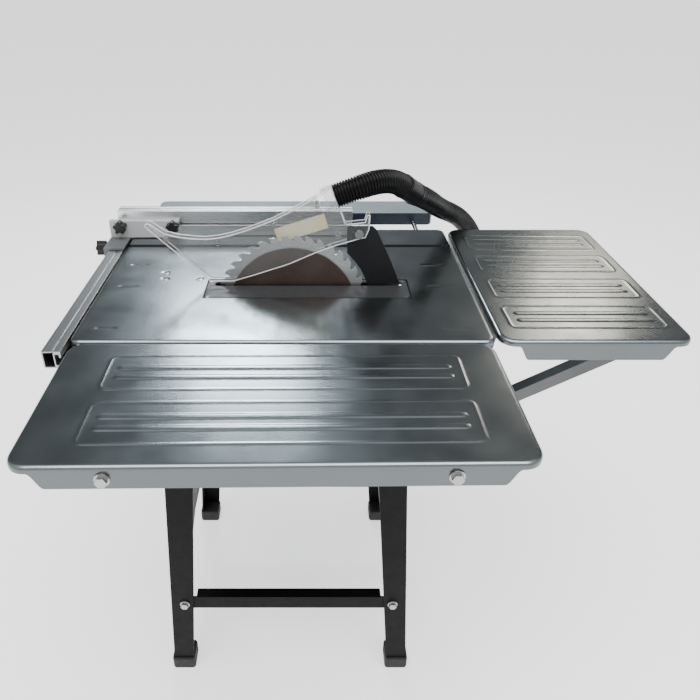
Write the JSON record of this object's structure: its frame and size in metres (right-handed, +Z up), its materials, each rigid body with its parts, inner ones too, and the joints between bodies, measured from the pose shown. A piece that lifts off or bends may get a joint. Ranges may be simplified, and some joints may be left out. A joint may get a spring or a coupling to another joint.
{
  "type": "table saw",
  "caption": "Free-standing table saw on splayed legs, with side and outfeed extension tables, tilting and lifting blade, riving knife, clear guard with dust hose, rip fence and side support",
  "frame": {"origin": "centre of the saw's outline on the floor", "axes": "+X along the blade from the operator to the outfeed end, +Y across the table towards the rip fence, +Z up"},
  "size_m": [0.957, 0.8845, 0.9359],
  "materials": {
    "galvanised_sheet": "bright galvanised sheet with a fine sparkle",
    "dark_insert": "dark grey satin paint",
    "black_paint": "black satin powder coat",
    "zinc": "zinc plated",
    "aluminium": "drawn aluminium",
    "cast_grey": "grey casting",
    "mechanism_steel": "phosphated sheet steel",
    "bright_steel": "ground steel",
    "blade_steel": "ground rim, brown-grey centre",
    "knife_steel": "blackened steel",
    "copper_iron": "laminated iron and copper windings",
    "black_plastic": "moulded black plastic",
    "switch_plastic": "yellow switch housing",
    "green_plastic": "green button",
    "red_plastic": "red button",
    "clear_plastic": "clear polycarbonate",
    "label": "blank off-white sticker",
    "hose": "black corrugated plastic hose",
    "foot_rubber": "moulded rubber",
    "support_paint": "blue-grey paint"
  },
  "bodies": {
    "stand": {"main_table": "galvanised_sheet", "table_insert": "dark_insert", "countersunk_screws": "zinc", "housing": "black_paint", "right_extension": "galvanised_sheet", "rear_extension": "galvanised_sheet", "right_struts": "galvanised_sheet", "rear_struts": "galvanised_sheet", "hex_bolts": "zinc", "front_rail": "aluminium", "rail_brackets": "black_paint", "support_guides": "black_plastic", "front_right_leg": "black_paint", "rear_right_leg": "black_paint", "front_left_leg": "black_paint", "rear_left_leg": "black_paint", "rubber_feet": "foot_rubber", "upper_braces": "black_paint", "lower_braces": "black_paint", "leg_gussets": "black_paint", "switch_box": "switch_plastic", "power_inlet": "black_plastic", "dust_port": "black_plastic", "trunnions": "cast_grey", "hose_lower": "hose"},
    "tilt_unit": {"tilt_carriage": "mechanism_steel", "riving_knife": "knife_steel", "guide_rods": "bright_steel", "blade_shroud": "mechanism_steel", "guard_bolt": "zinc", "hose_cuff": "hose"},
    "lift_unit": {"lift_bracket": "cast_grey", "gear_case": "cast_grey", "motor_housing": "black_plastic"},
    "arbor": {"saw_blade": "blade_steel", "arbor_shaft": "bright_steel", "blade_flanges": "mechanism_steel", "arbor_nut": "zinc", "arbor_gear": "mechanism_steel"},
    "rotor": {"motor_rotor": "copper_iron"},
    "spindle": {"lift_screw": "bright_steel"},
    "crank": {"crank_shaft": "bright_steel", "handwheel": "black_plastic"},
    "grip": {"crank_grip": "black_plastic"},
    "tilt_lock": {"tilt_lock_knob": "black_plastic"},
    "guard": {"guard_right_shell": "clear_plastic", "guard_left_shell": "clear_plastic", "guard_screws": "zinc", "guard_label": "label", "hose_upper": "hose"},
    "fence": {"fence_carriage": "cast_grey", "fence_bracket": "cast_grey"},
    "fence_bar": {"fence_profile": "aluminium"},
    "fence_clamp": {"fence_clamp_knob": "black_plastic"},
    "fence_front": {"fence_front_knob": "black_plastic"},
    "fence_rear": {"fence_rear_knob": "black_plastic"},
    "support": {"support_bar": "support_paint", "support_rods": "bright_steel"},
    "start": {"start_button": "green_plastic"},
    "stop": {"stop_button": "red_plastic"}
  },
  "joints": [
    {"name": "blade_tilt", "type": "hinge", "parent": "stand", "child": "tilt_unit", "pos_m": [-0.109, 0.0065, 0.75], "axis": [-1, 0, 0], "range_deg": [0, 45], "deforming": ["hose_lower"]},
    {"name": "blade_lift", "type": "slide", "parent": "tilt_unit", "child": "lift_unit", "axis": [0, 0, 1], "range_m": [-0.087, 0]},
    {"name": "blade_spin", "type": "hinge", "parent": "lift_unit", "child": "arbor", "pos_m": [-0.099, 0.0065, 0.709], "axis": [0, 1, 0], "continuous": true},
    {"name": "motor_spin", "type": "hinge", "parent": "lift_unit", "child": "rotor", "pos_m": [-0.099, 0.0065, 0.679], "axis": [0, 1, 0], "continuous": true},
    {"name": "screw_turn", "type": "hinge", "parent": "tilt_unit", "child": "spindle", "pos_m": [-0.204, 0.0575, 0.75], "axis": [0, 0, 1], "range_deg": [-2170, 10]},
    {"name": "handwheel_turn", "type": "hinge", "parent": "tilt_unit", "child": "crank", "pos_m": [-0.353, 0.0575, 0.55], "axis": [1, 0, 0], "range_deg": [-10, 2170]},
    {"name": "grip_spin", "type": "hinge", "parent": "crank", "child": "grip", "pos_m": [-0.379, 0.0575, 0.592], "axis": [1, 0, 0], "continuous": true},
    {"name": "tilt_lock_turn", "type": "hinge", "parent": "tilt_unit", "child": "tilt_lock", "pos_m": [-0.309, 0.0065, 0.63], "axis": [1, 0, 0], "range_deg": [0, 120]},
    {"name": "guard_lift", "type": "hinge", "parent": "tilt_unit", "child": "guard", "pos_m": [0.008, 0.0065, 0.841], "axis": [0, 1, 0], "range_deg": [0, 35], "deforming": ["hose_upper"]},
    {"name": "fence_slide", "type": "slide", "parent": "stand", "child": "fence", "axis": [0, 1, 0], "range_m": [-0.12, 0.01]},
    {"name": "fence_bar_slide", "type": "slide", "parent": "fence", "child": "fence_bar", "axis": [1, 0, 0], "range_m": [-0.05, 0.03]},
    {"name": "fence_clamp_turn", "type": "hinge", "parent": "fence", "child": "fence_clamp", "pos_m": [-0.469, 0.1925, 0.738], "axis": [1, 0, 0], "range_deg": [0, 120]},
    {"name": "front_knob_turn", "type": "hinge", "parent": "fence", "child": "fence_front", "pos_m": [-0.431, 0.2015, 0.775], "axis": [0, 1, 0], "range_deg": [-90, 0]},
    {"name": "rear_knob_turn", "type": "hinge", "parent": "fence", "child": "fence_rear", "pos_m": [-0.331, 0.2015, 0.775], "axis": [0, 1, 0], "range_deg": [-90, 0]},
    {"name": "support_slide", "type": "slide", "parent": "stand", "child": "support", "axis": [0, 1, 0], "range_m": [-0.09, 0.05]},
    {"name": "start_press", "type": "slide", "parent": "stand", "child": "start", "axis": [1, 0, 0], "range_m": [0, 0.004], "stiffness_N_per_m": 800},
    {"name": "stop_press", "type": "slide", "parent": "stand", "child": "stop", "axis": [1, 0, 0], "range_m": [0, 0.004], "stiffness_N_per_m": 800}
  ],
  "couplings": [
    {"joint": "motor_spin", "follows": "blade_spin", "ratio": -3},
    {"joint": "screw_turn", "follows": "blade_lift", "rad_per_m": 433},
    {"joint": "handwheel_turn", "follows": "blade_lift", "rad_per_m": -433}
  ]
}
